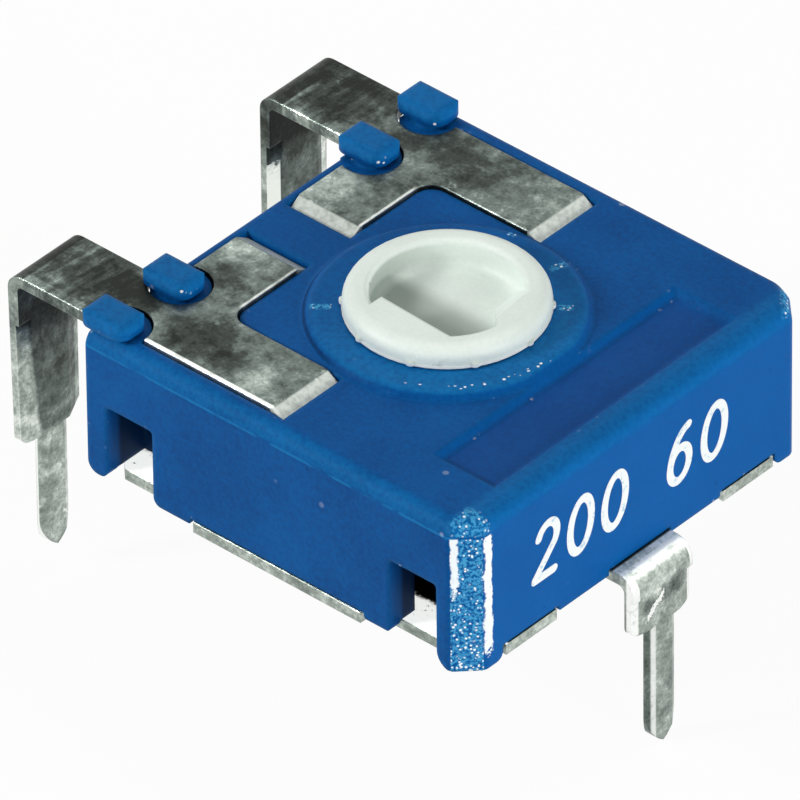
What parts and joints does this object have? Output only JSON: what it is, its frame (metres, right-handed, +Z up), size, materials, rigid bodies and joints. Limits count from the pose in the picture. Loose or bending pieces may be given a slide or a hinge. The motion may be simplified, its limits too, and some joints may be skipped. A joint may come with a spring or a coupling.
{
  "type": "trimmer potentiometer",
  "caption": "Flat square trimmer potentiometer with a moulded blue housing, a pale screwdriver-set rotor, bent flat terminals and pointed solder pins.",
  "frame": {"origin": "on the rotor's axis, in the plane of the housing's lower rim", "axes": "+X from the rear with the outer terminals to the front with the middle terminal, +Y from the left terminal to the right one, +Z up along the rotor's axis"},
  "size_m": [0.0177, 0.0136, 0.0113],
  "materials": {
    "housing": "moulded, satin with a fine sparkle on the top edges",
    "rotor": "moulded, satin, greenish white",
    "wiper": "spring bronze, plain",
    "element": "brown laminate",
    "carbon": "printed carbon, dull black",
    "terminals": "hot tinned, mottled and lightly scratched",
    "plate": "hot tinned"
  },
  "bodies": {
    "base": {"housing": "housing", "element": "element", "carbon_track": "carbon", "left_terminal": "terminals", "right_terminal": "terminals", "collector_plate": "plate"},
    "rotor": {"rotor": "rotor", "wiper": "wiper"}
  },
  "joints": [
    {"name": "rotor_turn", "type": "hinge", "parent": "base", "child": "rotor", "pos_m": [0, 0, 0], "axis": [0, 0, 1], "range_deg": [-132.5, 132.5]}
  ]
}
